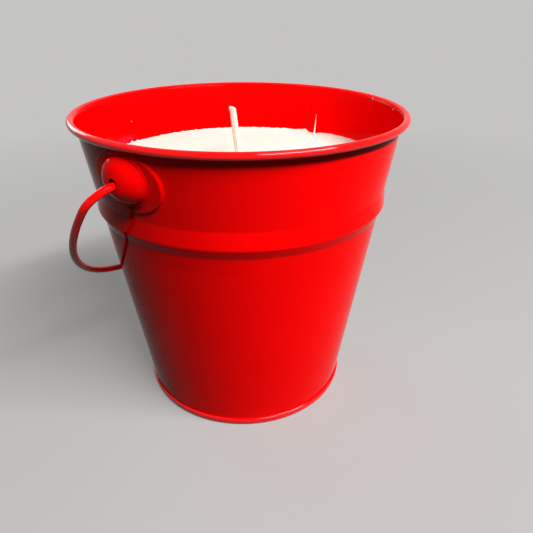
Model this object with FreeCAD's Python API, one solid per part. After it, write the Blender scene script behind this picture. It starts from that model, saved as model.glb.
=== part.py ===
import FreeCAD, Part
import math
import os

V = FreeCAD.Vector

# Candle in a small painted sheet-metal pail, in millimetres and degrees.
# The origin is under the middle of the pail, +Z is up, and the two ears lie on the X axis.

# Pail wall: one tapered sheet, rolled outward at the rim and hemmed at the foot
sheet = 0.4
wall_base_radius = 44.65
wall_taper = 8.18
rim_height = 123.6
curl_diameter = 2.6
curl_wall_gap = 0.1
curl_turn = 245.0
flare_turn = 52.0
flare_radius = 2.0
bead_stand = 1.35
bead_upper_side = 6.4
bead_lower_side = 3.8
bead_crest_radius = 2.0
bead_root_radius = 4.0

# Side seam, a folded strip that stands proud inside the wall, under the right ear
seam_width = 4.6
seam_stand = 0.45

# Foot: the wall's edge is hemmed outward and the bottom sheet is folded round it
bottom_sheet = 0.4
floor_height = 3.6
hem_gap = 0.1
hem_length = 1.6
foot_corner_radius = 0.45
floor_corner_radius = 0.9
foot_tuck_radius = 0.45
foot_tuck_turn = 75.0

# Ears: oval pressings with a hollow dome, welded to the wall by the rim of the oval
ear_curl_gap = 0.1
ear_bead_gap = 3.3
ear_sheet = 0.5
ear_length = 28.8
ear_width = 21.4
ear_plate_height = 1.3
ear_edge_radius = 1.1
ear_dome_height = 5.8
ear_dome_margin = 1.9
ear_dome_lean = 18.0
ear_shoulder_radius = 6.2
ear_root_radius = 1.4
ear_hole_radius = 2.1
ear_hole_rise = 0.45
ear_sector = 90.0

# Bail: one round wire whose turned-in ends stand in the ears
wire_diameter = 2.7
bail_span = 149.0
bail_corner_radius = 8.5
wire_end_gap = 1.0
rest_gap = 0.3

# Wax, wick and what holds the wick
wax_below_rim = 21.6
wax_creep = 0.6
wax_creep_width = 1.5
wick_width = 2.7
wick_thickness = 1.9
wick_x = 0.2
wick_y = 1.4
wick_stand = 20.9
wick_facing = -53.0
wick_lean = 12.5
wick_lean_direction = 67.0
wick_bend_radius = 14.0
sustainer_diameter = 20.0
sustainer_sheet = 0.3
sustainer_neck_height = 3.0
sustainer_neck_wall = 0.35
sticker_diameter = 18.0
sticker_thickness = 0.8

# Sizes that follow: the rim from its curl, the dome from its oval, heights from the rim down
rim_reach = curl_wall_gap + curl_diameter
ear_dome_radius = ear_width / 2 - ear_dome_margin
pivot_height = rim_height - curl_diameter - ear_curl_gap - ear_width / 2
bead_height = pivot_height - ear_width / 2 - ear_bead_gap - bead_upper_side
wax_height = rim_height - wax_below_rim


def heading(angle):
    # Unit vector in the X-Z plane, turned from +Z towards +X by the angle
    a = math.radians(angle)
    return V(math.sin(a), 0, math.cos(a))


def left_of(direction):
    # Square to a direction in the X-Z plane, on the side that faces the axis when it points up
    return V(-direction.z, 0, direction.x)


def rounded_chain(points, radii, shift=0.0):
    # Edges along a polyline with rounded corners, shifted sideways by a constant distance
    edges = []
    here = points[0]
    ahead = (points[1] - points[0]).normalize()
    for i in range(1, len(points)):
        corner = points[i]
        last = i == len(points) - 1
        trim = 0.0
        if not last:
            following = (points[i + 1] - corner).normalize()
            turn = ahead.getAngle(following)
            trim = radii[i - 1] * math.tan(turn / 2)
        stop = corner - ahead * trim
        side = left_of(ahead) * shift
        if (stop - here).dot(ahead) > 1e-6:
            edges.append(Part.LineSegment(here + side, stop + side).toShape())
        if last:
            break
        outward = 1.0 if left_of(ahead).dot(following) < 0 else -1.0
        centre = stop - left_of(ahead) * radii[i - 1] * outward
        middle = centre + (corner - centre).normalize() * (radii[i - 1] + shift * outward)
        here = corner + following * trim
        arc = Part.Arc(stop + side, middle, here + left_of(following) * shift)
        edges.append(arc.toShape())
        ahead = following
    return edges


def sheet_section(points, radii, inner_shift, outer_shift):
    # Closed face of a folded sheet between two shifts of one chain
    inner = rounded_chain(points, radii, inner_shift)
    outer = rounded_chain(points, radii, outer_shift)
    first_cap = Part.LineSegment(inner[0].firstVertex(True).Point, outer[0].firstVertex(True).Point)
    last_cap = Part.LineSegment(inner[-1].lastVertex(True).Point, outer[-1].lastVertex(True).Point)
    edges = inner + outer + [first_cap.toShape(), last_cap.toShape()]
    return Part.Face(Part.Wire(Part.__sortEdges__(edges)))


def spun(face, start=-180.0, angle=360.0):
    # Solid of revolution of a face in the X-Z plane about the Z axis
    turned = face.copy()
    turned.rotate(V(0, 0, 0), V(0, 0, 1), start)
    return turned.revolve(V(0, 0, 0), V(0, 0, 1), angle)


def closed_face(points):
    return Part.Face(Part.makePolygon(points + [points[0]]))


def save(shape, node):
    solids = shape.Solids
    volume = sum(s.Volume for s in solids)
    print(node, "solids", len(solids), "volume", round(volume, 2), "valid", shape.isValid())
    shape.exportStep("parts/" + node + ".step")


# Wall geometry that the other pieces share
up_wall = heading(wall_taper)
off_wall = left_of(up_wall) * -1
slope = math.tan(math.radians(wall_taper))
lean_factor = 1 / math.cos(math.radians(wall_taper))


def wall_face(z, offset=0.0):
    # Radius of the wall's outer face at a height, or of a face lying outside it by an offset
    return wall_base_radius + slope * z + offset * lean_factor


def wall_point(z, offset):
    return V(wall_face(z, offset), 0, z)


def on_centre_line(z, offset):
    # Point of the sheet's centre line whose shifted twin lies at the given height
    return wall_point(z, offset) - off_wall * (offset + sheet / 2)


def bead_points():
    root = -sheet / 2
    low = wall_point(bead_height - bead_lower_side, root)
    crest = wall_point(bead_height, root) + V(bead_stand, 0, 0)
    high = wall_point(bead_height + bead_upper_side, root)
    return [low, crest, high], [bead_root_radius, bead_crest_radius, bead_root_radius]


def hem_points():
    # The wall's edge turned outward and up; the fold rests on the bottom sheet
    pitch = sheet + hem_gap
    fold_centre_z = bottom_sheet + pitch / 2 + sheet / 2
    fold_start = wall_point(fold_centre_z + up_wall.x * pitch / 2, -sheet / 2)
    inner_corner = fold_start - up_wall * (pitch / 2)
    outer_corner = inner_corner + off_wall * pitch
    hem_top = outer_corner + up_wall * (pitch / 2 + hem_length)
    return [hem_top, outer_corner, inner_corner], [pitch / 2, pitch / 2]


def pail_wall():
    points, radii = hem_points()
    bead, bead_radii = bead_points()
    points += bead
    radii += bead_radii
    curl_radius = (curl_diameter - sheet) / 2
    curl_z = rim_height - curl_diameter / 2
    curl_centre = V(wall_face(curl_z) + rim_reach - curl_diameter / 2, 0, curl_z)
    flare = wall_taper + flare_turn
    curl_start = curl_centre + left_of(heading(flare)) * curl_radius
    wall_base = wall_point(0, -sheet / 2)
    across = left_of(heading(flare))
    run = (curl_start - wall_base).dot(across) / up_wall.dot(across)
    points.append(wall_base + up_wall * run)
    radii.append(flare_radius)
    step = curl_turn / 3
    for k in range(3):
        direction = heading(flare + k * step)
        touch = curl_centre + left_of(direction) * curl_radius
        points.append(touch + direction * curl_radius * math.tan(math.radians(step / 2)))
        radii.append(curl_radius)
    points.append(curl_centre + left_of(heading(flare + curl_turn)) * curl_radius)
    wall = spun(sheet_section(points, radii, sheet / 2, -sheet / 2))
    return wall.fuse(side_seam())


def side_seam():
    # The strip starts inside the sheet, so that it joins the wall with no gap
    bead, bead_radii = bead_points()
    seam_low = floor_height + sheet
    seam_high = rim_height - curl_diameter - flare_radius
    points = [wall_point(seam_low, -sheet / 2)] + bead + [wall_point(seam_high, -sheet / 2)]
    strip = sheet_section(points, bead_radii, sheet / 2 + seam_stand, 0.0)
    half_turn = math.degrees(seam_width / wall_base_radius)
    ring = spun(strip, -half_turn, 2 * half_turn)
    reach = 2 * wall_base_radius
    slab = Part.makeBox(reach, seam_width, rim_height, V(0, -seam_width / 2, 0))
    return ring.common(slab)


def pail_bottom():
    # Flat floor, skirt inside the wall, and an outer leg wrapped over the hem
    top = floor_height - bottom_sheet / 2
    inner_leg = -sheet - bottom_sheet / 2
    outer_leg = sheet + hem_gap + bottom_sheet / 2
    low = bottom_sheet / 2
    points = [V(0, 0, top), wall_point(top, inner_leg)]
    points += [wall_point(low, inner_leg), wall_point(low, outer_leg)]
    radii = [floor_corner_radius, foot_corner_radius, foot_corner_radius]
    tuck_trim = foot_tuck_radius * math.tan(math.radians(foot_tuck_turn / 2))
    hem_top = hem_points()[0][0]
    tuck = hem_top + off_wall * (sheet / 2 + bottom_sheet / 2) + up_wall * (hem_gap + tuck_trim)
    points.append(tuck)
    radii.append(foot_tuck_radius)
    points.append(tuck + heading(wall_taper - foot_tuck_turn) * (sheet + bottom_sheet / 2))
    return spun(sheet_section(points, radii, bottom_sheet / 2, -bottom_sheet / 2))


def oval_prism(length, width):
    # Straight bar of oval section along the ear's axis, through the wall
    start = V(wall_face(pivot_height) - ear_length / 2, 0, pivot_height)
    oval = Part.Ellipse(V(0, 0, 0), length / 2, width / 2).toShape()
    face = Part.Face(Part.Wire([oval]))
    face.Placement = FreeCAD.Placement(start, FreeCAD.Rotation(V(0, 1, 0), V(0, 0, 1), V(1, 0, 0), "ZXY"))
    return face.extrude(V(ear_length, 0, 0))


def wall_layer(inner_offset, outer_offset):
    # Curved block that follows the wall, between two offsets from its outer face
    low = pivot_height - ear_width
    high = pivot_height + ear_width
    corners = [wall_point(low, inner_offset), wall_point(low, outer_offset)]
    corners += [wall_point(high, outer_offset), wall_point(high, inner_offset)]
    return spun(closed_face(corners), -ear_sector / 2, ear_sector)


def dome_block(height, radius, shoulder):
    # Round dome about the ear's axis; its foot is the radius at the height of the plate
    foot_x = wall_face(pivot_height) - ear_dome_radius / 2
    crown_x = wall_face(pivot_height) + height
    plate_x = wall_face(pivot_height) + ear_plate_height
    widen = math.tan(math.radians(ear_dome_lean))
    crown_corner = V(radius - (crown_x - plate_x) * widen, 0, crown_x)
    foot_corner = V(radius + (plate_x - foot_x) * widen, 0, foot_x)
    chain = rounded_chain([V(0, 0, crown_x), crown_corner, foot_corner], [shoulder])
    chain.append(Part.LineSegment(foot_corner, V(0, 0, foot_x)).toShape())
    chain.append(Part.LineSegment(V(0, 0, foot_x), V(0, 0, crown_x)).toShape())
    block = spun(Part.Face(Part.Wire(Part.__sortEdges__(chain))))
    block.rotate(V(0, 0, 0), V(0, 1, 0), 90)
    block.translate(V(0, 0, pivot_height))
    return block


def ear():
    reach = ear_length / 2
    plate = wall_layer(0.0, ear_plate_height).common(oval_prism(ear_length, ear_width))
    rim_edges = [e for e in plate.Edges if edge_offset(e) > ear_plate_height * 0.9]
    plate = plate.makeFillet(ear_edge_radius, rim_edges)
    outside = wall_layer(0.0, ear_dome_height + reach)
    dome = dome_block(ear_dome_height, ear_dome_radius, ear_shoulder_radius).common(outside)
    body = plate.fuse(dome)
    root_edges = [e for e in body.Edges if is_dome_root(e)]
    body = body.makeFillet(ear_root_radius, root_edges)
    inner_height = ear_plate_height - ear_sheet
    inner_plate = oval_prism(ear_length - 2 * ear_sheet, ear_width - 2 * ear_sheet)
    inner_plate = wall_layer(-ear_sheet, inner_height).common(inner_plate)
    inner_dome = dome_block(ear_dome_height - ear_sheet, ear_dome_radius - ear_sheet,
                            ear_shoulder_radius - ear_sheet)
    body = body.cut(inner_plate.fuse(inner_dome))
    hole_centre = V(0, 0, pivot_height + ear_hole_rise)
    hole = Part.makeCylinder(ear_hole_radius, 2 * wall_base_radius, hole_centre, V(1, 0, 0))
    return body.cut(hole)


def edge_offset(edge):
    # How far the middle of an edge lies outside the wall's outer face
    p = edge.valueAt((edge.FirstParameter + edge.LastParameter) / 2)
    return (math.hypot(p.x, p.y) - wall_face(p.z)) / lean_factor


def is_dome_root(edge):
    p = edge.valueAt((edge.FirstParameter + edge.LastParameter) / 2)
    from_axis = math.hypot(p.y, p.z - pivot_height)
    on_plate = abs(edge_offset(edge) - ear_plate_height) < 0.05
    return on_plate and abs(from_axis - ear_dome_radius) < ear_root_radius


def rest_angle():
    # Angle of the bail below level at which its far side stands clear of the wall by the rest gap
    reach = bail_corner_radius + bail_span / 2
    clear = wall_face(pivot_height, wire_diameter / 2 + rest_gap)
    return wall_taper + math.degrees(math.acos(clear * math.cos(math.radians(wall_taper)) / reach))


def bail_handle():
    # Drawn flat with the loop towards +Y, then turned down about the ears' axis
    half = bail_span / 2
    bend = bail_corner_radius
    inner_end = wall_face(pivot_height) + wire_end_gap
    s = math.sqrt(0.5)
    edges = []
    edges.append(Part.LineSegment(V(-inner_end, 0, 0), V(-half + bend, 0, 0)).toShape())
    edges.append(Part.Arc(V(-half + bend, 0, 0), V(-half + bend - bend * s, bend - bend * s, 0),
                          V(-half, bend, 0)).toShape())
    edges.append(Part.Arc(V(-half, bend, 0), V(0, bend + half, 0), V(half, bend, 0)).toShape())
    edges.append(Part.Arc(V(half, bend, 0), V(half - bend + bend * s, bend - bend * s, 0),
                          V(half - bend, 0, 0)).toShape())
    edges.append(Part.LineSegment(V(half - bend, 0, 0), V(inner_end, 0, 0)).toShape())
    path = Part.Wire(edges)
    ring = Part.Wire([Part.Circle(V(-inner_end, 0, 0), V(1, 0, 0), wire_diameter / 2).toShape()])
    wire = path.makePipeShell([ring], True, True)
    section = math.pi * wire_diameter ** 2 / 4
    print("bail length", round(path.Length, 1), "filled", round(wire.Volume / section / path.Length, 4))
    wire.rotate(V(0, 0, 0), V(1, 0, 0), -rest_angle())
    wire.translate(V(0, 0, pivot_height))
    print("bail rests", round(rest_angle(), 2), "below level")
    return wire


def wick_foot():
    return floor_height + sticker_thickness


def wick():
    # Straight up through the wax, then one bend and a straight leaning end, cut square
    lean = math.radians(wick_lean)
    start = V(0, 0, wick_foot())
    corner = V(0, 0, wax_height)
    tip = corner + heading(wick_lean) * (wick_stand / math.cos(lean))
    path = Part.Wire(rounded_chain([start, corner, tip], [wick_bend_radius]))
    oval = wick_oval(0.0)
    oval.rotate(V(0, 0, 0), V(0, 0, 1), -wick_lean_direction)
    oval.translate(start)
    shape = path.makePipeShell([oval], True, True)
    shape.rotate(V(0, 0, 0), V(0, 0, 1), wick_lean_direction)
    shape.translate(V(wick_x, wick_y, 0))
    return shape


def wick_oval(margin):
    oval = Part.Ellipse(V(0, 0, 0), wick_width / 2 + margin, wick_thickness / 2 + margin).toShape()
    oval.rotate(V(0, 0, 0), V(0, 0, 1), wick_facing)
    return Part.Wire([oval])


def wick_sustainer():
    # Thin disc with a neck crimped to the wick
    disc = Part.makeCylinder(sustainer_diameter / 2, sustainer_sheet)
    neck = Part.Face(wick_oval(sustainer_neck_wall)).extrude(V(0, 0, sustainer_neck_height))
    bore = Part.Face(wick_oval(0.0)).extrude(V(0, 0, sustainer_neck_height))
    shape = disc.fuse(neck).cut(bore)
    shape.translate(V(wick_x, wick_y, wick_foot()))
    return shape


def wick_sticker():
    return Part.makeCylinder(sticker_diameter / 2, sticker_thickness, V(wick_x, wick_y, floor_height))


def wax_fill(inner_pieces):
    # The side follows the inner face of the wall, and the flat top creeps up where it meets it
    bead, bead_radii = bead_points()
    edge_z = wax_height + wax_creep
    points = [on_centre_line(floor_height, -sheet)] + bead + [on_centre_line(edge_z, -sheet)]
    edge = wall_point(edge_z, -sheet)
    flat_end = V(edge.x - wax_creep_width, 0, wax_height)
    chord = edge - flat_end
    sagitta = chord.Length / 2 * math.tan(math.atan2(wax_creep, wax_creep_width) / 2)
    middle = flat_end + chord * 0.5 - left_of(chord).normalize() * sagitta
    top_middle = V(0, 0, wax_height)
    floor_middle = V(0, 0, floor_height)
    edges = rounded_chain(points, bead_radii, sheet / 2)
    edges.append(Part.Arc(edge, middle, flat_end).toShape())
    edges.append(Part.LineSegment(flat_end, top_middle).toShape())
    edges.append(Part.LineSegment(top_middle, floor_middle).toShape())
    edges.append(Part.LineSegment(floor_middle, wall_point(floor_height, -sheet)).toShape())
    wax = spun(Part.Face(Part.Wire(Part.__sortEdges__(edges))))
    for piece in inner_pieces:
        wax = wax.cut(piece)
    return wax


os.makedirs("parts", exist_ok=True)
right_ear = ear()
left_ear = right_ear.copy()
left_ear.rotate(V(0, 0, 0), V(0, 0, 1), 180)
candle_wick = wick()
sustainer = wick_sustainer()
sticker = wick_sticker()
save(pail_wall(), "pail_wall")
save(pail_bottom(), "pail_bottom")
save(left_ear, "ear_left")
save(right_ear, "ear_right")
save(bail_handle(), "bail_handle")
save(wax_fill([candle_wick, sustainer, sticker, side_seam()]), "wax_fill")
save(candle_wick, "wick")
save(sustainer, "wick_sustainer")
save(sticker, "wick_sticker")
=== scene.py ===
import math

import bmesh
import bpy
import numpy as np
from mathutils import Matrix, Vector


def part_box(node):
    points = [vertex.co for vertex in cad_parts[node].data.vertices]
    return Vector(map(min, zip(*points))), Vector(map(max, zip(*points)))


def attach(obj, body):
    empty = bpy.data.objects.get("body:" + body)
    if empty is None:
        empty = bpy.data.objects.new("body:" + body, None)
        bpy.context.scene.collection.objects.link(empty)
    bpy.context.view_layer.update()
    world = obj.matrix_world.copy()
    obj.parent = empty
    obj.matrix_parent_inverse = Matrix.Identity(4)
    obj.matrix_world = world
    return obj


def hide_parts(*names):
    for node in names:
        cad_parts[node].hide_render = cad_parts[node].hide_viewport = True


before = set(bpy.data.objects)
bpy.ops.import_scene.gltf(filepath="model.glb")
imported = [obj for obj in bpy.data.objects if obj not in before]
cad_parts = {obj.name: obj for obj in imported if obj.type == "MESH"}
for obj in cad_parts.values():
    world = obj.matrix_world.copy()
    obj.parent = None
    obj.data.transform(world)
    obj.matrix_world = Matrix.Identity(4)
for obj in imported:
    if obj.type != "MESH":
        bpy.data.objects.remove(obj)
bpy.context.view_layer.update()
mm = 0.001
shortest = 1e-5      # millimetres, the least run between two points of a path
mergeWithin = 1e-7   # metres
print("frame loaded:", sorted(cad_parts))


# Wall of the pail, in millimetres and degrees. The other pieces read it too.
wall = dict(
    sheet=0.4,
    baseRadius=44.65,        # outer face, carried down to the table
    taper=8.18,
    rimHeight=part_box("pail_wall")[1][2] / mm,
    curl=2.6,                # outer size of the rolled rim
    curlGap=0.1,             # between the curl and the wall below it
    curlTurn=245.0,
    curlArcs=3,
    flareTurn=52.0,
    flareRadius=2.0,
    beadHeight=89.8,
    beadStand=1.35,
    beadSides=(6.4, 3.8),    # above and below the crest
    beadRadii=(4.0, 2.0, 4.0),
    hemGap=0.1,
    hemLength=1.6,
    step=(5.0, 11.0),        # length and turn from one row of the mesh to the next
    columns=300,
)
slope = math.tan(math.radians(wall["taper"]))
upWall = np.array([math.sin(math.radians(wall["taper"])), math.cos(math.radians(wall["taper"]))])
offWall = np.array([upWall[1], -upWall[0]])


def wallFace(z, offset=0.0):
    # Radius of the wall's outer face at a height, plus a distance square to the wall
    return wall["baseRadius"] + slope * z + offset / upWall[1]


def wallPoint(z, offset=0.0):
    return np.array([wallFace(z, offset), z])


def leftOf(d):
    return np.array([-d[1], d[0]])


def heading(angle):
    # Direction in the (radius, height) plane, turned outwards from straight up
    a = math.radians(angle)
    return np.array([math.sin(a), math.cos(a)])


def roundedPath(corners, radii, step):
    # Polyline with an arc at each inner corner: p = centre + R (cos, sin), and its left normals
    stepLength, stepAngle = step
    points, normals = [], []
    here = np.asarray(corners[0], float)
    for k in range(1, len(corners)):
        corner = np.asarray(corners[k], float)
        ahead = corner - np.asarray(corners[k - 1], float)
        ahead = ahead / np.linalg.norm(ahead)
        if k < len(corners) - 1:
            following = np.asarray(corners[k + 1], float) - corner
            following = following / np.linalg.norm(following)
            turn = math.atan2(ahead[0] * following[1] - ahead[1] * following[0], ahead @ following)
            radius = radii[k - 1]
        else:
            turn, radius = 0.0, 0.0
        stop = corner - ahead * radius * math.tan(abs(turn) / 2)
        run = np.linalg.norm(stop - here)
        t = np.linspace(0, 1, max(2, int(round(run / stepLength)) + 1))[:, None]
        if run > shortest:
            points.append(here + (stop - here) * t)
            normals.append(np.repeat(leftOf(ahead)[None], len(t), 0))
        if radius:
            side = math.copysign(1.0, turn)
            steps = max(3, int(round(math.degrees(abs(turn)) / stepAngle)))
            a = np.linspace(0, turn, steps + 1)[:, None]
            n = leftOf(ahead) * np.cos(a) - ahead * np.sin(a)
            centre = stop + leftOf(ahead) * radius * side
            points.append(centre - n * radius * side)
            normals.append(n)
            here = points[-1][-1]
    points, normals = np.concatenate(points), np.concatenate(normals)
    keep = np.append(True, np.linalg.norm(np.diff(points, axis=0), axis=1) > shortest)
    return points[keep], normals[keep]


def gridFaces(rows, columns, closeRows=False, closeColumns=False):
    # Quads between neighbouring grid points; they face out where column x row does
    i, j = np.meshgrid(np.arange(rows if closeRows else rows - 1),
                       np.arange(columns if closeColumns else columns - 1), indexing="ij")
    k, l = (i + 1) % rows, (j + 1) % columns
    return np.stack([i * columns + j, i * columns + l, k * columns + l, k * columns + j], -1).reshape(-1, 4)


def putMesh(name, body, node, points, faces, attributes=None, sharp=38.0):
    # One finished piece from points in millimetres; doubles at poles are merged
    mesh = bpy.data.meshes.new(name)
    points = np.asarray(points, float).reshape(-1, 3) * mm
    mesh.vertices.add(len(points))
    mesh.vertices.foreach_set("co", points.ravel())
    mesh.loops.add(faces.size)
    mesh.loops.foreach_set("vertex_index", faces.astype(np.int32).ravel())
    mesh.polygons.add(len(faces))
    mesh.polygons.foreach_set("loop_start", np.arange(0, faces.size, faces.shape[1], dtype=np.int32))
    mesh.update(calc_edges=True)
    for key, values in (attributes or {}).items():
        layer = mesh.attributes.new(key, "FLOAT", "POINT")
        layer.data.foreach_set("value", np.asarray(values, float).ravel())
    merged = bmesh.new()
    merged.from_mesh(mesh)
    bmesh.ops.remove_doubles(merged, verts=merged.verts, dist=mergeWithin)
    merged.to_mesh(mesh)
    merged.free()
    mesh.validate()
    mesh.polygons.foreach_set("use_smooth", np.ones(len(mesh.polygons), bool))
    mesh.set_sharp_from_angle(angle=math.radians(sharp))
    piece = bpy.data.objects.new(name, mesh)
    bpy.context.collection.objects.link(piece)
    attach(piece, body)
    if node:
        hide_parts(node)
    print(name, "faces", len(mesh.polygons))
    return piece


def ripple(x, *waves):
    # Sum of sines: amount * sin(frequency * x + phase)
    return sum(a * np.sin(f * x + p) for a, f, p in waves)


def window(x, half, soft):
    # 1 inside |x| < half, falling smoothly to 0 over the soft margin
    t = np.clip((half + soft - np.abs(x)) / soft, 0, 1)
    return t * t * (3 - 2 * t)


def bump(x, centre, width):
    # Bell curve: exp(-((x - centre) / width)^2)
    return np.exp(-((x - centre) / width) ** 2)


def arcFrom(place, a, radius):
    # Arc length between an angle in degrees and the angles a, the short way round
    away = np.radians(place) - a
    return radius * np.arctan2(np.sin(away), np.cos(away))


# Side seam: a folded strip inside the wall, on the +X side
seam = dict(
    width=4.6, stand=0.45, edge=0.25,
    low=4.0, high=118.9, endSoft=0.8,
    outerGroove=0.12, grooveWidth=0.22,        # line pressed in outside, along one edge of the strip
    kink=0.28, kinkHalf=2.0, kinkSoft=0.8,     # lump in the rim above the strip
    fineHalf=5.0, fineColumns=64,              # the mesh is finer on both sides of the strip
)
outOfReach = 99.0   # millimetres
fine = math.degrees(seam["fineHalf"] / wall["baseRadius"])
around = np.radians(np.concatenate([np.linspace(-fine, fine, seam["fineColumns"], endpoint=False),
                                    np.linspace(fine, 360 - fine, wall["columns"], endpoint=False)]))


def acrossSeam(r, a):
    # Distance from the strip's middle line, r sin(a); the far half of the pail is put out of its reach
    return r * np.sin(a) + outOfReach * (np.cos(a) < 0)


def seamStand(y, z):
    # How far the strip stands in from the wall: a flat top with soft long edges and ends
    middle = (seam["low"] + seam["high"]) / 2
    ends = window(z - middle, (seam["high"] - seam["low"]) / 2, seam["endSoft"])
    return seam["stand"] * window(y, seam["width"] / 2 - seam["edge"], seam["edge"]) * ends


def beadCorners(offset):
    # The bead's two roots and its crest, at a distance from the wall's outer face
    above, below = wall["beadSides"]
    crest = wallPoint(wall["beadHeight"], offset) + np.array([wall["beadStand"], 0])
    return [wallPoint(wall["beadHeight"] - below, offset), crest,
            wallPoint(wall["beadHeight"] + above, offset)]


def hemCorners():
    # The wall's edge turned outward and up, resting on the bottom sheet
    pitch = wall["sheet"] + wall["hemGap"]
    foldStart = wallPoint(wall["sheet"] * 1.5 + pitch / 2 + upWall[0] * pitch / 2, -wall["sheet"] / 2)
    inner = foldStart - upWall * pitch / 2
    outer = inner + offWall * pitch
    return [outer + upWall * (pitch / 2 + wall["hemLength"]), outer, inner], [pitch / 2] * 2


def wallPath():
    # Middle line of the sheet: hem, wall, bead, flare and curl
    corners, radii = hemCorners()
    corners += beadCorners(-wall["sheet"] / 2)
    radii += list(wall["beadRadii"])
    curlRadius = (wall["curl"] - wall["sheet"]) / 2
    curlZ = wall["rimHeight"] - wall["curl"] / 2
    curlCentre = np.array([wallFace(curlZ) + wall["curlGap"] + wall["curl"] / 2, curlZ])
    flare = wall["taper"] + wall["flareTurn"]
    start = curlCentre + leftOf(heading(flare)) * curlRadius
    base = wallPoint(0, -wall["sheet"] / 2)
    across = leftOf(heading(flare))
    corners.append(base + upWall * ((start - base) @ across) / (upWall @ across))
    radii.append(wall["flareRadius"])
    arcTurn = wall["curlTurn"] / wall["curlArcs"]
    for k in range(wall["curlArcs"]):
        d = heading(flare + k * arcTurn)
        trim = curlRadius * math.tan(math.radians(arcTurn / 2))
        corners.append(curlCentre + leftOf(d) * curlRadius + d * trim)
        radii.append(curlRadius)
    corners.append(curlCentre + leftOf(heading(flare + wall["curlTurn"])) * curlRadius)
    return roundedPath(corners, radii, wall["step"])


# The rim is never quite round, and has a few soft dents
rim = dict(
    radius=64.0,
    marked=3.2, markSoft=1.5,                  # how far down dents and kink reach, and their fade
    dents=((-129.5, 0.9, -0.16), (-62.0, 1.4, -0.05), (152.0, 1.2, -0.07)),   # angle, arc width, depth
    waves=((0.04, 3, 0.4), (0.03, 5, 1.9), (0.02, 11, 0.2)),
    waveDrop=0.09, waveFrom=105.0, waveSoft=12.0,   # the waves only go inwards, from this height up
)


def pailShell():
    # Lathe of the closed section: (r, z) around the axis, moved along its normal by the seam and marks
    middle, normals = wallPath()
    half = wall["sheet"] / 2
    section = np.concatenate([middle - normals * half, (middle + normals * half)[::-1]])
    outward = np.concatenate([-normals, normals[::-1]])
    isInner = np.repeat([0.0, 1.0], len(middle))[:, None]
    a = around[None, :]
    y = acrossSeam(section[:, :1], a)
    z = section[:, 1:]
    push = isInner * seamStand(y, z)
    groove = bump(y, seam["width"] / 2, seam["grooveWidth"]) * (z > seam["low"]) * (z < seam["high"])
    push = push - (1 - isInner) * seam["outerGroove"] * groove
    atRim = np.clip((z - wall["rimHeight"] + rim["marked"]) / rim["markSoft"], 0, 1) * (1 - isInner)
    push = push + atRim * seam["kink"] * window(y, seam["kinkHalf"], seam["kinkSoft"])
    for place, width, depth in rim["dents"]:
        push = push + atRim * depth * bump(arcFrom(place, a, rim["radius"]), 0, width)
    wave = ripple(a, *rim["waves"]) - rim["waveDrop"]
    wave = wave * np.clip((z - rim["waveFrom"]) / rim["waveSoft"], 0, 1)
    r = section[:, :1] + outward[:, :1] * push + wave
    h = section[:, 1:] + outward[:, 1:] * push
    points = np.stack([r * np.cos(a), r * np.sin(a), h + 0 * a], -1)
    faces = gridFaces(len(section), len(around), closeRows=True, closeColumns=True)
    return putMesh("pailShell", "pail", "pail_wall", points, faces)


# Bottom: a flat floor let into the wall, with its edge wrapped round the hem
foot = dict(
    sheet=0.4, floorHeight=3.6,
    floorRadius=0.9, cornerRadius=0.45,
    tuckRadius=0.45, tuckTurn=75.0,            # the edge tucked in over the hem
    step=(4.0, 15.0), columns=300,
)


def footRing():
    # Lathe of the floor, skirt, foot and outer leg, (r, z) around the axis
    half = foot["sheet"] / 2
    top = foot["floorHeight"] - half
    innerLeg = -wall["sheet"] - half
    outerLeg = wall["sheet"] + wall["hemGap"] + half
    corners = [np.array([0.0, top]), wallPoint(top, innerLeg),
               wallPoint(half, innerLeg), wallPoint(half, outerLeg)]
    trim = foot["tuckRadius"] * math.tan(math.radians(foot["tuckTurn"] / 2))
    hemTop = hemCorners()[0][0]
    tuck = hemTop + offWall * (wall["sheet"] / 2 + half) + upWall * (wall["hemGap"] + trim)
    tuckWay = heading(wall["taper"] - foot["tuckTurn"])
    corners += [tuck, tuck + tuckWay * (wall["sheet"] + half)]
    radii = [foot["floorRadius"], foot["cornerRadius"], foot["cornerRadius"], foot["tuckRadius"]]
    middle, normals = roundedPath(corners, radii, foot["step"])
    section = np.concatenate([middle - normals * half, (middle + normals * half)[::-1]])
    section[:, 0] = np.maximum(section[:, 0], 0)
    a = np.radians(np.linspace(0, 360, foot["columns"], endpoint=False))[None, :]
    r = section[:, :1]
    points = np.stack([r * np.cos(a), r * np.sin(a), section[:, 1:] + 0 * a], -1)
    faces = gridFaces(len(section), a.size, closeRows=True, closeColumns=True)
    return putMesh("footRing", "pail", "pail_bottom", points, faces)


# Ears: oval pressings on the wall with a hollow dome, set a little high, and a hole for the wire
ear = dict(
    pivot=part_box("ear_left")[0][2] / mm / 2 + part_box("ear_left")[1][2] / mm / 2,
    length=28.8, width=21.4, sheet=0.5,
    plate=0.7, edge=0.45,                      # height of the flat part and radius of its edge
    flatness=0.4,                              # share by which the plate stays flat on the round wall
    crown=5.8, domeRadius=9.5, domeTall=0.90, domeRise=1.1,
    ovalFrom=5.5,                              # radius from which the dome has its full oval form
    foot=9.75, lean=18.0, shoulder=8.5,
    root=0.7,                                  # size of the fillet between dome and plate
    hole=2.1, holeRise=0.45,
    edgeRows=8, blendRows=9, sideRows=8, shoulderRows=28, columns=144, sharp=60.0,
)


def domeTurns():
    # Radii where the round shoulder would leave a flat crown and where it meets the straight side
    lean = math.radians(ear["lean"])
    turn = math.pi / 2 - lean
    corner = ear["domeRadius"] - (ear["crown"] - ear["plate"]) * math.tan(lean)
    flat = corner - ear["shoulder"] * math.tan(turn / 2)
    return flat, flat + ear["shoulder"] * math.sin(turn)


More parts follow.
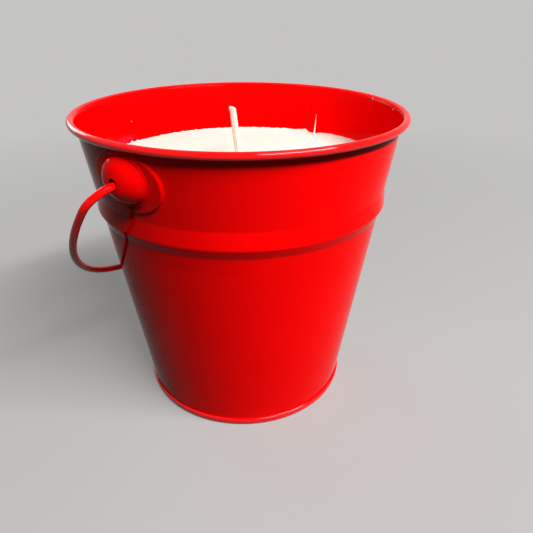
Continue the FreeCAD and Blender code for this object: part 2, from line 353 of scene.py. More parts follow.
def domeHeight(rho):
    # Flat crown, then a round shoulder, then a straight side leaning out by the lean angle
    lean = math.radians(ear["lean"])
    turn = math.pi / 2 - lean
    flat, end = domeTurns()
    arc = np.sqrt(np.maximum(ear["shoulder"] ** 2 - (rho - flat) ** 2, 0)) - ear["shoulder"]
    side = ear["shoulder"] * (math.cos(turn) - 1) - (rho - end) / math.tan(lean)
    return ear["crown"] + np.where(rho < flat, 0, np.where(rho < end, arc, side))


def earShell(name, node, side):
    # Rows run from the oval's edge in to the hole; height is the rounded maximum of plate and dome
    t = np.radians(np.linspace(0, 360, ear["columns"], endpoint=False))[None, :]
    psi = np.radians(np.linspace(90, 0, ear["edgeRows"]))[:, None]
    inset = np.concatenate([[[0.0]], ear["edge"] * (1 - np.sin(psi))])
    plateHigh = np.concatenate([[[0.0]], ear["plate"] - ear["edge"] * (1 - np.cos(psi))])
    ovalY = (ear["length"] / 2 - inset) * np.cos(t)
    ovalZ = (ear["width"] / 2 - inset) * np.sin(t)
    q = np.linspace(0, 1, ear["blendRows"])[1:-1, None]
    blendY = (1 - q) * ovalY[-1:] + q * ear["foot"] * np.cos(t)
    blendZ = (1 - q) * ovalZ[-1:] + q * (ear["foot"] * ear["domeTall"] * np.sin(t) + ear["domeRise"])
    flat, end = domeTurns()
    atHole = math.asin((ear["hole"] - flat) / ear["shoulder"])
    over = np.linspace(math.radians(90 - ear["lean"]), atHole, ear["shoulderRows"])[1:]
    plateRows = len(inset) + len(q)
    rho = np.concatenate([np.full(plateRows, ear["foot"]), np.linspace(ear["foot"], end, ear["sideRows"]),
                          flat + ear["shoulder"] * np.sin(over)])[:, None]
    grow = np.clip((rho - ear["hole"]) / (ear["ovalFrom"] - ear["hole"]), 0, 1)
    tall = 1 + (ear["domeTall"] - 1) * grow
    rise = ear["holeRise"] + (ear["domeRise"] - ear["holeRise"]) * grow
    y, z = rho * np.cos(t), rho * tall * np.sin(t) + rise
    y[:plateRows] = np.concatenate([ovalY, blendY])
    z[:plateRows] = np.concatenate([ovalZ, blendZ])
    plateHigh = np.concatenate([plateHigh, np.full((len(y) - len(inset), 1), ear["plate"])])
    roundFace = wallFace(ear["pivot"] + z, plateHigh)
    bend = roundFace - np.sqrt(roundFace ** 2 - y ** 2)
    plate = roundFace - bend * (1 - ear["flatness"] * plateHigh / ear["plate"])
    dome = wallFace(ear["pivot"]) + domeHeight(np.hypot(y, (z - rise) / tall))
    joined = np.maximum(plate, dome)
    joined = joined + np.maximum(ear["root"] - np.abs(plate - dome), 0) ** 2 / (4 * ear["root"])
    onEdge = (np.arange(len(y)) < len(inset))[:, None]
    outer = np.stack([np.where(onEdge, plate, joined), y, ear["pivot"] + z], -1)
    alongRow = np.roll(outer, -1, 1) - np.roll(outer, 1, 1)
    normal = np.cross(alongRow, np.gradient(outer, axis=0))
    normal /= np.linalg.norm(normal, axis=-1, keepdims=True)
    inner = outer - normal * ear["sheet"]
    inner[0] = inner[1]
    inner[0, :, 0] = np.sqrt(wallFace(inner[0, :, 2]) ** 2 - inner[0, :, 1] ** 2)
    points = np.concatenate([outer, inner[::-1]]) * np.array([side, side, 1.0])
    faces = gridFaces(len(points), ear["columns"], closeRows=True, closeColumns=True)
    return putMesh(name, "pail", node, points, faces, sharp=ear["sharp"])


# Bail: one round painted wire
bail = dict(
    wire=2.7, span=149.0, corner=8.5, endGap=1.0, endRound=0.4,
    angle=-50.34,                              # where it rests, turned down from level about the ears' axis
    lumps=((0.006, 0.23, 0.3), (0.004, 0.61, 2.0)),
    oval=0.006, ovalTwist=0.11, thinner=0.012,     # shares of the radius, and turn per millimetre
    step=(1.0, 0.9), endRows=6, rows=520, columns=28,
)


def bailWire():
    # Circle of the wire's radius carried along the path in its own plane, then turned about the ears' axis
    inner = wallFace(ear["pivot"]) + bail["endGap"]
    half = bail["span"] / 2
    top = half + bail["corner"]
    corners = [(-inner, 0), (-half, 0), (-half, top), (half, top), (half, 0), (inner, 0)]
    path, n = roundedPath(corners, [bail["corner"], half, half, bail["corner"]], bail["step"])
    s = np.concatenate([[0], np.cumsum(np.linalg.norm(np.diff(path, axis=0), axis=1))])
    total = s[-1]
    ease = bail["endRound"] * (1 - np.cos(np.radians(np.linspace(0, 90, bail["endRows"]))))
    between = np.linspace(bail["endRound"], total - bail["endRound"], bail["rows"])[1:-1]
    stations = np.concatenate([ease, between, total - ease[::-1]])
    path = np.stack([np.interp(stations, s, path[:, k]) for k in (0, 1)], -1)
    n = np.stack([np.interp(stations, s, n[:, k]) for k in (0, 1)], -1)
    n /= np.linalg.norm(n, axis=-1, keepdims=True)
    short = np.clip(bail["endRound"] - np.minimum(stations, total - stations), 0, None)
    rounded = np.sqrt(np.maximum(bail["endRound"] ** 2 - short ** 2, 0))
    radius = bail["wire"] / 2 - bail["endRound"] + rounded
    radius = np.concatenate([[0], radius, [0]])[:, None]
    path, n, stations = [np.concatenate([v[:1], v, v[-1:]]) for v in (path, n, stations[:, None])]
    phi = np.radians(np.linspace(0, 360, bail["columns"], endpoint=False))[None, :]
    oval = bail["oval"] * np.sin(phi * 2 + stations * bail["ovalTwist"])
    r = radius * (1 + ripple(stations, *bail["lumps"]) + oval - bail["thinner"])
    flat = path[:, None, :] + n[:, None, :] * (r * np.cos(phi))[..., None]
    lift = r * np.sin(phi)
    c, d = math.cos(math.radians(bail["angle"])), math.sin(math.radians(bail["angle"]))
    y = flat[..., 1] * c - lift * d
    z = flat[..., 1] * d + lift * c + ear["pivot"]
    points = np.stack([flat[..., 0], y, z], -1)
    faces = gridFaces(len(points), phi.size, closeColumns=True)
    return putMesh("bailWire", "bail", "bail_handle", points, faces)


# Wax: cast in the pail round the wick, with a thin film that climbs the wall
wickPlace = (0.2, 1.4)
wax = dict(
    level=102.0, bottom=3.6,
    clear=0.02,                                # gap to the wall
    sideEnd=1.0,                               # the side's last row lies this far below the level
    filmWidth=1.2, filmFoot=0.35,              # reach of the hollow curve in from the wall
    filmSheet=0.04, filmBelly=0.10,            # thickness of the film, and what is added halfway down
    filmFull=3.0,                              # height of a climb that has the whole belly
    unevenX=((0.05, 0.09, 0.5), (0.03, 0.21, 1.4)),
    unevenY=((0.05, 0.11, 2.1), (0.03, 0.19, 0.7)),
    unevenDrop=0.06, unevenFade=9.0,
    collar=0.25, collarWidth=1.6,              # the wax stands up a little round the wick
    step=(9.0, 14.0), filmRows=9, curveRows=15, topRows=34, topPower=0.9, sharp=50.0,
)
waxEdge = dict(
    angles=(-60, -20, -10, -5, -2, 1, 4, 8, 20, 50, 65, 85, 100, 130),
    heights=(0.9, 1.05, 0.95, 0.65, 0.15, -0.35, 1.35, 0.6, 0.35, 0.2, 0.2, 0.1, 0.25, 0.5),
    ripples=((0.07, 61, 0.3), (0.06, 97, 1.2), (0.05, 151, 2.2), (0.04, 211, 0.9)),
    climbs=(                                   # angle, arc width and height of each single climb
        (-1.2, 0.24, 9.6), (95.6, 0.8, 0.8), (92.4, 0.7, 0.6), (98.6, 0.5, 0.7),
        (-33.9, 1.1, 1.7), (-36.5, 0.7, 0.8), (15.0, 1.6, 0.2),
        (150.0, 2.0, 0.7), (205.0, 3.0, 0.6), (262.0, 2.4, 0.5),
    ),
    least=0.08,
)


def filmTop(a):
    # Height of the film's edge over the wax: a slow course, a fine ripple and exp(-|arc / width|^3) climbs
    top = np.interp(np.degrees(a), waxEdge["angles"], waxEdge["heights"], period=360)
    top = top + ripple(a, *waxEdge["ripples"])
    for place, width, height in waxEdge["climbs"]:
        arc = arcFrom(place, a, wallFace(wax["level"]))
        top = top + height * np.exp(-np.abs(arc / width) ** 3)
    return np.maximum(top, waxEdge["least"])


def innerFace(a, z):
    # Inner face of the wall with the seam strip on it
    return wallFace(z, -wall["sheet"]) - seamStand(acrossSeam(wallFace(z), a), z)


def waxBody():
    # Rows: underside, side against the wall, film up to its ragged edge, hollow curve down, then the top
    a = around[None, :]
    climb = filmTop(a)
    corners = [wallPoint(wax["bottom"], -wall["sheet"]), *beadCorners(-wall["sheet"]),
               wallPoint(wax["level"] - wax["sideEnd"], -wall["sheet"])]
    side, _ = roundedPath(corners, wall["beadRadii"], wax["step"])
    sideZ = side[:, 1:] + 0 * a
    sideR = side[:, :1] - wax["clear"] - seamStand(acrossSeam(side[:, :1], a), sideZ) + 0 * a
    up = np.linspace(0, 1, wax["filmRows"])[:, None]
    filmZ = wax["level"] + climb * up
    filmR = innerFace(a, filmZ) - wax["clear"] + 0 * a
    down = np.linspace(0, 1, wax["curveRows"])[1:, None]
    reach = np.minimum(climb, wax["filmWidth"]) + wax["filmFoot"]
    share = np.minimum(climb, wax["filmFull"]) / wax["filmFull"]
    thick = wax["filmSheet"] + wax["filmBelly"] * share * np.sin(np.pi * down) ** 2
    curveZ = wax["level"] + climb * (1 - down) ** 2
    curveR = innerFace(a, curveZ) - wax["clear"] - thick - reach * down ** 3
    q = np.concatenate([np.linspace(0, 1, wax["topRows"])[1:-1] ** wax["topPower"], [1.0]])[:, None]
    topR = curveR[-1:] * (1 - q)
    x, y = topR * np.cos(a), topR * np.sin(a)
    fade = np.clip((1 - topR / curveR[-1:]) * wax["unevenFade"], 0, 1)
    uneven = ripple(x, *wax["unevenX"]) + ripple(y, *wax["unevenY"]) - wax["unevenDrop"]
    fromWick = np.hypot(x - wickPlace[0], y - wickPlace[1])
    collar = wax["collar"] * bump(fromWick, 0, wax["collarWidth"])
    topZ = wax["level"] + fade * (uneven + collar)
    r = np.concatenate([0 * a, sideR, filmR, curveR, topR])
    z = np.concatenate([wax["bottom"] + 0 * a, sideZ, filmZ, curveZ, topZ])
    points = np.stack([r * np.cos(a), r * np.sin(a), z], -1)
    faces = gridFaces(len(points), around.size, closeColumns=True)
    film = np.concatenate([0 * a, 0 * sideR, 1 + 0 * filmR, (1 - down) + 0 * a, 0 * topR])
    return putMesh("waxBody", "pail", "wax_fill", points, faces, dict(film=film),
                   sharp=wax["sharp"])


# Wick: a flat cotton braid dipped in wax. Places across it run from -1 to 1 over its width.
wick = dict(
    foot=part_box("wick")[0][2] / mm, stand=20.9,
    width=2.7, thick=1.9, trim=0.05,           # the oval is trimmed by this much before the relief
    facing=-53.0, lean=12.5, leanWay=67.0, bend=14.0,
    chevron=2.1, chevronRun=0.75, chevronTip=-0.3,
    relief=0.04, reliefPower=0.7, reliefLevel=0.8,
    groove=0.18, grooves=((-0.3, 0.12, 1.0), (0.55, 0.10, 0.45)),   # place across, width, share
    # Painted shade: the grooves and the gaps between strands are drawn darker
    shades=(0.8, 0.2),                         # how dark the grooves and the gaps between strands are
    lumps=((0.03, 0.9, 0.2), (0.02, 2.3, 1.0)), fuzz=(0.02, 9, 3),
    worn=0.22, wornFrom=1.2,                   # thinner towards the tip
    tuft=0.3, tuftAcross=-1.0, tuftDown=0.6, tuftSize=0.5,
    slant=0.45, slantFrom=1.4, slantAcross=-0.4,    # the tip is cut aslant
    step=(0.25, 0.8), columns=72, sharp=75.0,
)
tipHair = dict(
    seed=5, count=46, rows=7, sides=5, radius=0.13,
    depth=0.65,                                # roots are spread over the width and this share of it
    spread=0.45, stray=0.2, sideways=-0.55, curlPower=1.7,
    rise=(0.25, 0.7), droop=0.5, sunk=0.45,
)


def wickPath():
    # Upright line to the wax's level, a round bend, then a straight lean to the tip
    tip = heading(wick["lean"]) * wick["stand"] / math.cos(math.radians(wick["lean"]))
    bend = np.array([0.0, wax["level"]])
    return roundedPath([(0, wick["foot"]), bend, bend + tip], [wick["bend"]], wick["step"])


def wickFrame():
    # Points on the wick's line with its tangent, wide and thick directions
    line, left = wickPath()
    c, s = math.cos(math.radians(wick["leanWay"])), math.sin(math.radians(wick["leanWay"]))
    points = np.stack([line[:, 0] * c + wickPlace[0], line[:, 0] * s + wickPlace[1], line[:, 1]], -1)
    tangent = np.stack([left[:, 1] * c, left[:, 1] * s, -left[:, 0]], -1)
    facing = math.radians(wick["facing"])
    wide = np.array([math.cos(facing), math.sin(facing), 0.0]) + 0 * tangent
    wide = wide - tangent * np.sum(wide * tangent, -1, keepdims=True)
    wide /= np.linalg.norm(wide, axis=-1, keepdims=True)
    return points, tangent, wide, np.cross(tangent, wide)


def wickRelief(s, phi, toTip):
    # Chevron |sin| strands less the grooves, with lumps, a worn tip and a tuft on one side; and the painted
    # shade of its grooves and gaps
    across = np.cos(phi)
    chevron = s / wick["chevron"] + wick["chevronRun"] * np.abs(across - wick["chevronTip"])
    strands = np.abs(np.sin(math.pi * chevron))
    groove = sum(share * bump(across, place, width) for place, width, share in wick["grooves"])
    relief = wick["relief"] * (strands ** wick["reliefPower"] - wick["reliefLevel"])
    relief = relief - wick["groove"] * groove
    amount, turns, twist = wick["fuzz"]
    relief = relief + ripple(s, *wick["lumps"]) + amount * np.sin(phi * turns + s * twist)
    worn = np.clip(1 - toTip / wick["wornFrom"], 0, 1)
    tuft = bump(across, wick["tuftAcross"], wick["tuftSize"])
    tuft = tuft * bump(toTip, wick["tuftDown"], wick["tuftSize"])
    relief = relief - wick["worn"] * worn ** 2 + wick["tuft"] * tuft
    inGroove, inGap = wick["shades"]
    return relief, groove * inGroove + (1 - strands) * inGap


def wickBraid():
    # Oval section carried along the line, its half axes grown by the relief
    points, tangent, wide, thick = wickFrame()
    s = np.concatenate([[0], np.cumsum(np.linalg.norm(np.diff(points, axis=0), axis=1))])[:, None]
    phi = np.radians(np.linspace(0, 360, wick["columns"], endpoint=False))[None, :]
    toTip = s[-1] - s
    relief, shade = wickRelief(s, phi, toTip)
    a = (wick["width"] / 2 - wick["trim"] + relief) * np.cos(phi)
    b = (wick["thick"] / 2 - wick["trim"] + relief) * np.sin(phi)
    slant = np.clip(1 - toTip / wick["slantFrom"], 0, 1)
    cut = -wick["slant"] * (np.cos(phi) - wick["slantAcross"]) * slant
    body = points[:, None] + wide[:, None] * a[..., None] + thick[:, None] * b[..., None]
    body = body + tangent[:, None] * cut[..., None]
    body = np.concatenate([points[None, :1] + 0 * body[:1], body, points[None, -1:] + 0 * body[-1:]])
    faces = gridFaces(len(body), phi.size, closeColumns=True)
    hair, hairFaces = tipHairs(points[-1], tangent[-1], wide[-1], thick[-1])
    faces = np.concatenate([faces, hairFaces + body.shape[0] * body.shape[1]])
    allPoints = np.concatenate([body.reshape(-1, 3), hair.reshape(-1, 3)])
    ends = np.zeros(phi.size)
    shade = np.concatenate([ends, shade.ravel(), ends, np.zeros(hair.size // 3)])
    return putMesh("wickBraid", "pail", "wick", allPoints, faces, dict(shade=shade),
                   sharp=wick["sharp"])


def tipHairs(tip, tangent, wide, thick):
    # Short tapering tubes: p(t) = root + rise t + curl t^power, thinning to a point
    draw = np.random.default_rng(tipHair["seed"])
    count, rows, sides = tipHair["count"], tipHair["rows"], tipHair["sides"]
    root = draw.uniform(-1, 1, (count, 2)) * np.array([1.0, tipHair["depth"]])
    out = root * tipHair["spread"] + draw.normal(0, tipHair["stray"], (count, 2))
    out = out + np.array([tipHair["sideways"], 0])
    rise = draw.uniform(*tipHair["rise"], count)[:, None, None]
    t = np.linspace(0, 1, rows)[None, :, None]
    u = root[:, None, :] + out[:, None, :] * t ** tipHair["curlPower"] * rise
    cut = wick["slant"] * (root[:, None, :1] - wick["slantAcross"])
    high = rise * t * (1 - tipHair["droop"] * t) - tipHair["sunk"] - cut
    line = tip + wide * u[..., :1] + thick * u[..., 1:] + tangent * high
    phi = np.radians(np.arange(sides) * 360 / sides)
    radius = tipHair["radius"] * np.sqrt(np.maximum(1 - t ** 2, 0))
    ring = wide * np.cos(phi)[:, None] + thick * np.sin(phi)[:, None]
    points = line[:, :, None, :] + ring[None, None] * radius[..., None]
    one = gridFaces(rows, sides, closeColumns=True)
    faces = (one[None] + (np.arange(count) * rows * sides)[:, None, None]).reshape(-1, 4)
    return points, faces


pieces = dict(
    shell=pailShell(),
    foot=footRing(),
    earRight=earShell("earRight", "ear_right", 1.0),
    earLeft=earShell("earLeft", "ear_left", -1.0),
    wire=bailWire(),
    wax=waxBody(),
    wick=wickBraid(),
)
print("shapes done")


# Materials. Every pattern is on Object coordinates or on a piece's own attribute.
def newMaterial(name):
    material = bpy.data.materials.new(name)
    material.use_nodes = True
    nodes, links = material.node_tree.nodes, material.node_tree.links
    return material, nodes, links, nodes["Principled BSDF"]


def noise(nodes, links, place, scale, detail=3.0, stretch=(1, 1, 1), rough=0.5):
    # Noise on Object coordinates in millimetres, stretched by a Mapping node
    mapping = nodes.new("ShaderNodeMapping")
    mapping.inputs["Scale"].default_value = [1 / mm * k for k in stretch]
    links.new(place.outputs["Object"], mapping.inputs["Vector"])
    node = nodes.new("ShaderNodeTexNoise")
    node.inputs["Scale"].default_value = scale
    node.inputs["Detail"].default_value = detail
    node.inputs["Roughness"].default_value = rough
    links.new(mapping.outputs["Vector"], node.inputs["Vector"])
    return node.outputs["Fac"]


def mapRange(nodes, links, value, low, high, newLow, newHigh):
    node = nodes.new("ShaderNodeMapRange")
    for key, number in zip(("From Min", "From Max", "To Min", "To Max"), (low, high, newLow, newHigh)):
        node.inputs[key].default_value = number
    links.new(value, node.inputs["Value"])
    return node.outputs["Result"]


def mixColour(nodes, links, factor, first, second):
    node = nodes.new("ShaderNodeMix")
    node.data_type = "RGBA"
    for key, colour in ((6, first), (7, second)):
        if isinstance(colour, tuple):
            node.inputs[key].default_value = (*colour, 1.0)
        else:
            links.new(colour, node.inputs[key])
    links.new(factor, node.inputs[0])
    return node.outputs[2]


def maths(nodes, links, kind, first, second=0.0):
    node = nodes.new("ShaderNodeMath")
    node.operation = kind
    for key, value in ((0, first), (1, second)):
        if isinstance(value, (int, float)):
            node.inputs[key].default_value = value
        else:
            links.new(value, node.inputs[key])
    return node.outputs[0]


def bumpUp(nodes, links, shader, height, distance, strength=1.0):
    node = nodes.new("ShaderNodeBump")
    node.inputs["Strength"].default_value = strength
    node.inputs["Distance"].default_value = distance
    links.new(height, node.inputs["Height"])
    links.new(node.outputs["Normal"], shader.inputs["Normal"])


def nearness(nodes, links, place, point, full, none):
    # 1 within the full distance of a point, falling to 0 at the other distance
    away = nodes.new("ShaderNodeVectorMath")
    away.operation = "DISTANCE"
    away.inputs[1].default_value = [k * mm for k in point]
    links.new(place.outputs["Object"], away.inputs[0])
    return mapRange(nodes, links, away.outputs["Value"], full * mm, none * mm, 1, 0)


enamel = dict(
    colour=(0.96, 0.0004, 0.0006), deep=(0.93, 0.0003, 0.0005), cloud=0.05, cloudRange=(0.35, 0.65),
    rough=(0.05, 0.09), dull=0.12, dullRange=(0.3, 0.7),
    sheet=0.02, wire=0.09, drawn=0.26,         # specular level on flat sheet, wire and rolled edges
    peel=1.1, peelDepth=0.000006,
    hazed=(0.95, 0.008, 0.045), streak=0.7, streakRange=(0.42, 0.62),
    scuffed=(0.40, 0.0003, 0.0005), scratch=(0.12, 0.12, 1.6), scratchRange=(0.50, 0.65), scuff=0.35,
)
specks = dict(
    colour=(0.90, 0.45, 0.42), core=0.6,
    places=(                                   # small pale spots drawn in the paint: x, y, z, radius in mm
        (52.6, -32.5, 122.6, 0.45), (39.7, -47.3, 121.6, 0.6),
        (-3.3, 60.1, 111.2, 0.25), (4.4, -56.8, 85.9, 0.35),
    ),
)
patches = dict(                                # middle (x, y, z), half height, reach round the wall, in mm
    haze=((-11.3, 58.0, 104.1), 1.5, 9.0),
    scuff=((-53.0, -18.5, 81.3), 2.0, 20.0),
    core=0.4,                                  # share of the half height and the reach at full strength
)


def speckMask(nodes, links, place):
    # 1 on each pale spot, 0 away from them
    mask = 0.0
    for x, y, z, radius in specks["places"]:
        spot = nearness(nodes, links, place, (x, y, z), specks["core"] * radius, radius)
        mask = maths(nodes, links, "MAXIMUM", mask, spot)
    return mask


def patchMask(nodes, links, place, name):
    # A soft level band of the given half height, kept near its middle point alone
    point, half, reach = patches[name]
    parts = nodes.new("ShaderNodeSeparateXYZ")
    links.new(place.outputs["Object"], parts.inputs[0])
    height = maths(nodes, links, "SUBTRACT", parts.outputs["Z"], point[2] * mm)
    height = maths(nodes, links, "ABSOLUTE", height)
    band = mapRange(nodes, links, height, patches["core"] * half * mm, half * mm, 1, 0)
    return maths(nodes, links, "MULTIPLY", band,
                 nearness(nodes, links, place, point, patches["core"] * reach, reach))


def redEnamel(name, specular):
    # Glossy baked paint: orange peel, faint cloudiness, a smear of wax, small pale spots, fine scuffs
    material, nodes, links, shader = newMaterial(name)
    place = nodes.new("ShaderNodeTexCoord")
    cloud = mapRange(nodes, links, noise(nodes, links, place, enamel["cloud"]), *enamel["cloudRange"], 0, 1)
    colour = mixColour(nodes, links, cloud, enamel["colour"], enamel["deep"])
    streaks = noise(nodes, links, place, enamel["streak"], 4.0)
    streaks = mapRange(nodes, links, streaks, *enamel["streakRange"], 0, 1)
    streaks = maths(nodes, links, "MULTIPLY", streaks, patchMask(nodes, links, place, "haze"))
    colour = mixColour(nodes, links, streaks, colour, enamel["hazed"])
    colour = mixColour(nodes, links, speckMask(nodes, links, place), colour, specks["colour"])
    scratch = noise(nodes, links, place, 1.0, 2.0, stretch=enamel["scratch"])
    lines = mapRange(nodes, links, scratch, *enamel["scratchRange"], 0.0, enamel["scuff"])
    lines = maths(nodes, links, "MULTIPLY", lines, patchMask(nodes, links, place, "scuff"))
    colour = mixColour(nodes, links, lines, colour, enamel["scuffed"])
    links.new(colour, shader.inputs["Base Color"])
    dull = noise(nodes, links, place, enamel["dull"], 4.0)
    base = mapRange(nodes, links, dull, *enamel["dullRange"], *enamel["rough"])
    links.new(maths(nodes, links, "ADD", base, lines), shader.inputs["Roughness"])
    shader.inputs["Specular IOR Level"].default_value = specular
    peel = noise(nodes, links, place, 1 / enamel["peel"], 2.0)
    bumpUp(nodes, links, shader, peel, enamel["peelDepth"])
    return material


waxLook = dict(
    colour=(0.82, 0.77, 0.68), frosted=(0.80, 0.74, 0.64), frost=0.16, frostRange=(0.35, 0.7),
    rough=(0.38, 0.55), roughRange=(0.3, 0.7), specular=0.35,
    scatter=(1.0, 0.85, 0.7), scatterDepth=0.004,
    grain=0.9, grainDepth=0.00006, grainStrength=0.6,
)


def ivoryWax():
    # Soft ivory wax: light scatters a little way in, faint frosting and a fine bump
    material, nodes, links, shader = newMaterial("ivoryWax")
    place = nodes.new("ShaderNodeTexCoord")
    frost = noise(nodes, links, place, waxLook["frost"], 5.0, rough=0.6)
    colour = mixColour(nodes, links, mapRange(nodes, links, frost, *waxLook["frostRange"], 0, 1),
                       waxLook["colour"], waxLook["frosted"])
    links.new(colour, shader.inputs["Base Color"])
    rough = mapRange(nodes, links, frost, *waxLook["roughRange"], *waxLook["rough"])
    links.new(rough, shader.inputs["Roughness"])
    shader.inputs["Specular IOR Level"].default_value = waxLook["specular"]
    film = nodes.new("ShaderNodeAttribute")   # thin film scatters no light, so it keeps its colour
    film.attribute_name = "film"
    weight = mapRange(nodes, links, film.outputs["Fac"], 0.0, 0.5, 1.0, 0.0)
    links.new(weight, shader.inputs["Subsurface Weight"])
    shader.inputs["Subsurface Radius"].default_value = waxLook["scatter"]
    shader.inputs["Subsurface Scale"].default_value = waxLook["scatterDepth"]
    grain = noise(nodes, links, place, waxLook["grain"], 4.0)
    bumpUp(nodes, links, shader, grain, waxLook["grainDepth"], waxLook["grainStrength"])
    return material


cottonLook = dict(
    # The darker colour serves both the fibres' own streaks and the painted shade in grooves and gaps
    colour=(0.70, 0.655, 0.575), fibreAndShadeColour=(0.50, 0.37, 0.27), grooveShare=0.8, fibreShare=0.25,
    fibre=3.0, fibreStretch=(1, 1, 0.18), fibreRange=(0.3, 0.7), fibreDepth=0.00012,
    rough=0.62, sheen=0.05,
    scatterWeight=0.15, scatter=(1.0, 0.6, 0.4), scatterDepth=0.0006,
)


def waxedCotton():
    # Braid soaked in wax: painted shade darkens the grooves and the gaps between strands, fine fibres along
    # the wick
    material, nodes, links, shader = newMaterial("waxedCotton")
    place = nodes.new("ShaderNodeTexCoord")
    shade = nodes.new("ShaderNodeAttribute")
    shade.attribute_name = "shade"
    fibre = noise(nodes, links, place, cottonLook["fibre"], stretch=cottonLook["fibreStretch"])
    dark = mapRange(nodes, links, fibre, *cottonLook["fibreRange"], 0.0, cottonLook["fibreShare"])
    # Painted shade from the shade attribute, added to the fibres' own darkening
    inGroove = maths(nodes, links, "MULTIPLY", shade.outputs["Fac"], cottonLook["grooveShare"])
    dark = maths(nodes, links, "ADD", inGroove, dark)
    colour = mixColour(nodes, links, dark, cottonLook["colour"], cottonLook["fibreAndShadeColour"])
    links.new(colour, shader.inputs["Base Color"])
    shader.inputs["Roughness"].default_value = cottonLook["rough"]
    shader.inputs["Sheen Weight"].default_value = cottonLook["sheen"]
    shader.inputs["Subsurface Weight"].default_value = cottonLook["scatterWeight"]
    shader.inputs["Subsurface Radius"].default_value = cottonLook["scatter"]
    shader.inputs["Subsurface Scale"].default_value = cottonLook["scatterDepth"]
    bumpUp(nodes, links, shader, fibre, cottonLook["fibreDepth"])
    return material


tinLook = dict(
    colour=(0.72, 0.72, 0.70), dark=(0.55, 0.55, 0.54), rough=(0.22, 0.38), roughRange=(0.3, 0.7),
    grain=1.0, grainStretch=(0.2, 4.0, 1.0), grainDepth=0.00001,
)


def tinnedSteel():
    # Bright tin plate with a soft rolled grain
    material, nodes, links, shader = newMaterial("tinnedSteel")
    place = nodes.new("ShaderNodeTexCoord")
    grain = noise(nodes, links, place, tinLook["grain"], stretch=tinLook["grainStretch"])
    colour = mixColour(nodes, links, grain, tinLook["colour"], tinLook["dark"])
    links.new(colour, shader.inputs["Base Color"])
    shader.inputs["Metallic"].default_value = 1.0
    rough = mapRange(nodes, links, grain, *tinLook["roughRange"], *tinLook["rough"])
    links.new(rough, shader.inputs["Roughness"])
    bumpUp(nodes, links, shader, grain, tinLook["grainDepth"])
    return material


foamLook = dict(
    colour=(0.82, 0.82, 0.80), cellWall=(0.66, 0.66, 0.65), rough=0.85, cells=2500.0, cellDepth=0.0001,
)


def whiteFoam():
    # Closed-cell foam: small round cells as bump
    material, nodes, links, shader = newMaterial("whiteFoam")
    place = nodes.new("ShaderNodeTexCoord")
    cells = nodes.new("ShaderNodeTexVoronoi")
    cells.inputs["Scale"].default_value = foamLook["cells"]
    links.new(place.outputs["Object"], cells.inputs["Vector"])
    away = cells.outputs["Distance"]
    colour = mixColour(nodes, links, away, foamLook["colour"], foamLook["cellWall"])
    links.new(colour, shader.inputs["Base Color"])
    shader.inputs["Roughness"].default_value = foamLook["rough"]
    bumpUp(nodes, links, shader, away, foamLook["cellDepth"])
    return material


def dress(piece, material):
    piece.data.materials.clear()
    piece.data.materials.append(material)


def dressCurl(piece, material):
    # The curl of the rim: faces above its lower edge and outside the wall's own face
    piece.data.materials.append(material)
    centres = np.empty(len(piece.data.polygons) * 3)
    piece.data.polygons.foreach_get("center", centres)
    x, y, z = centres.reshape(-1, 3).T / mm
    isCurl = (z > wall["rimHeight"] - wall["curl"]) & (np.hypot(x, y) > wallFace(z))
    piece.data.polygons.foreach_set("material_index", isCurl.astype(np.int32))


# The rolled edges and the drawn wire are smoother than the flat sheet, so they shine more
paint = redEnamel("redEnamel", enamel["sheet"])
edgePaint = redEnamel("redEnamelEdge", enamel["drawn"])
for key in ("shell", "earRight", "earLeft"):
    dress(pieces[key], paint)
dress(pieces["foot"], edgePaint)
dress(pieces["wire"], redEnamel("redEnamelWire", enamel["wire"]))
dressCurl(pieces["shell"], edgePaint)
dress(pieces["wax"], ivoryWax())
dress(pieces["wick"], waxedCotton())
dress(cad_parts["wick_sustainer"], tinnedSteel())
dress(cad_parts["wick_sticker"], whiteFoam())
print("materials done")


# Stage: a pale floor, a soft key lamp high on the right, a weak broad lamp behind on the left
stage = dict(
    floor=30.0,                                              # half its side, in metres
    rough=0.9, specular=0.1,
    seen=(0.235, 0.2325, 0.23), lift=(0.19, 0.188, 0.186),   # as the camera and reflections see the floor
    bounce=(0.014, 0.0138, 0.0135), world=0.012,             # as they light the pail
    far=(0.56, 0.5545, 0.549), fadeFrom=0.13, fadeTo=0.55,   # the floor fades into the background
    target=(0, 0, 0.07),
)
lamps = (   # name, azimuth, elevation, distance, width, height, level (1 lights a facing white to white)
    ("key", -10.0, 48.5, 1.2, 0.96, 0.12, 2.12),
    ("side", 168.0, 20.0, 1.3, 0.55, 0.40, 0.22),
)


def placeAround(azimuth, elevation, distance):
    # Azimuth 0 is in front of the pail, on the -Y side, and grows towards +X
    a, e = math.radians(azimuth), math.radians(elevation)
    return Vector((math.sin(a) * math.cos(e), -math.cos(a) * math.cos(e), math.sin(e))) * distance


def seenRay(nodes, links):
    # 1 for rays that show the background: seen by the camera, in a reflection or through glass
    path = nodes.new("ShaderNodeLightPath")
    seen = maths(nodes, links, "MAXIMUM", path.outputs["Is Camera Ray"], path.outputs["Is Glossy Ray"])
    return maths(nodes, links, "MAXIMUM", seen, path.outputs["Is Transmission Ray"])


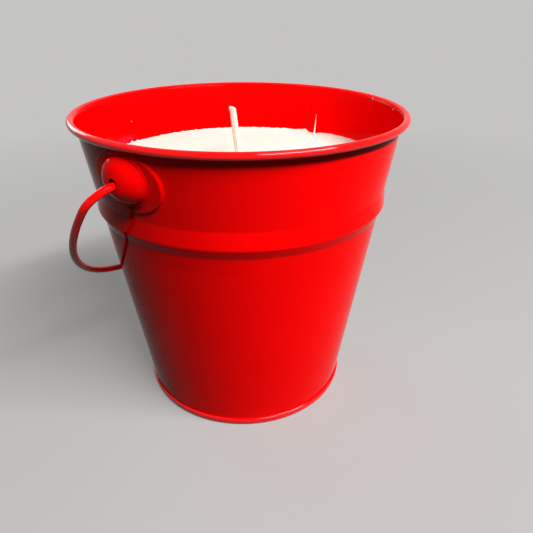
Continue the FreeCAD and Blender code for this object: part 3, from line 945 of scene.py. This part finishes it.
def makeStage():
    mesh = bpy.data.meshes.new("floor")
    h = stage["floor"]
    mesh.from_pydata([(-h, -h, 0), (h, -h, 0), (h, h, 0), (-h, h, 0)], [], [(0, 1, 2, 3)])
    floor = bpy.data.objects.new("floor", mesh)
    bpy.context.collection.objects.link(floor)
    material, nodes, links, shader = newMaterial("paleFloor")
    seen = seenRay(nodes, links)
    links.new(mixColour(nodes, links, seen, stage["bounce"], stage["seen"]), shader.inputs["Base Color"])
    shader.inputs["Roughness"].default_value = stage["rough"]
    shader.inputs["Specular IOR Level"].default_value = stage["specular"]
    glow = mixColour(nodes, links, seen, (0.0, 0.0, 0.0), stage["lift"])
    links.new(glow, shader.inputs["Emission Color"])
    shader.inputs["Emission Strength"].default_value = 1.0
    far = nodes.new("ShaderNodeEmission")
    far.inputs["Color"].default_value = (*stage["far"], 1.0)
    place = nodes.new("ShaderNodeTexCoord")
    away = nodes.new("ShaderNodeVectorMath")
    away.operation = "LENGTH"
    links.new(place.outputs["Object"], away.inputs[0])
    fade = mapRange(nodes, links, away.outputs["Value"], stage["fadeFrom"], stage["fadeTo"], 0, 1)
    blend = nodes.new("ShaderNodeMixShader")
    links.new(maths(nodes, links, "MULTIPLY", fade, seen), blend.inputs[0])
    links.new(shader.outputs[0], blend.inputs[1])
    links.new(far.outputs[0], blend.inputs[2])
    links.new(blend.outputs[0], nodes["Material Output"].inputs["Surface"])
    dress(floor, material)


def makeLights():
    target = Vector(stage["target"])
    for name, azimuth, elevation, distance, width, height, level in lamps:
        light = bpy.data.lights.new(name, "AREA")
        light.shape = "RECTANGLE"
        light.size, light.size_y = width, height
        light.energy = level * (math.pi * distance) ** 2
        lamp = bpy.data.objects.new(name, light)
        lamp.location = target + placeAround(azimuth, elevation, distance)
        lamp.rotation_euler = (target - lamp.location).to_track_quat("-Z", "Y").to_euler()
        bpy.context.collection.objects.link(lamp)
    world = bpy.data.worlds.new("studio")
    world.use_nodes = True
    nodes, links = world.node_tree.nodes, world.node_tree.links
    dim = (stage["world"],) * 3
    colour = mixColour(nodes, links, seenRay(nodes, links), dim, stage["far"])
    links.new(colour, nodes["Background"].inputs["Color"])
    bpy.context.scene.world = world


# Camera at the photograph's angle: place in metres, where it looks, and a slight roll in radians
view = dict(
    place=(-0.1612, -0.1215, 0.1623), ahead=(0.7274, 0.4923, -0.4781), roll=0.0025,
    lens=33.75, sensor=36.0, clip=(0.01, 100.0),
)


def makeCamera():
    ahead = Vector(view["ahead"]).normalized()
    right = ahead.cross(Vector((0, 0, 1))).normalized()
    up = right.cross(ahead)
    c, s = math.cos(view["roll"]), math.sin(view["roll"])
    axes = Matrix((right * c + up * s, up * c - right * s, -ahead)).transposed()
    data = bpy.data.cameras.new("camera")
    data.lens = view["lens"]
    data.sensor_width = view["sensor"]
    data.clip_start, data.clip_end = view["clip"]
    camera = bpy.data.objects.new("camera", data)
    camera.matrix_world = Matrix.Translation(view["place"]) @ axes.to_4x4()
    bpy.context.collection.objects.link(camera)
    bpy.context.scene.camera = camera


makeStage()
makeLights()
makeCamera()
bpy.context.scene.view_settings.view_transform = "Standard"
print("stage done")
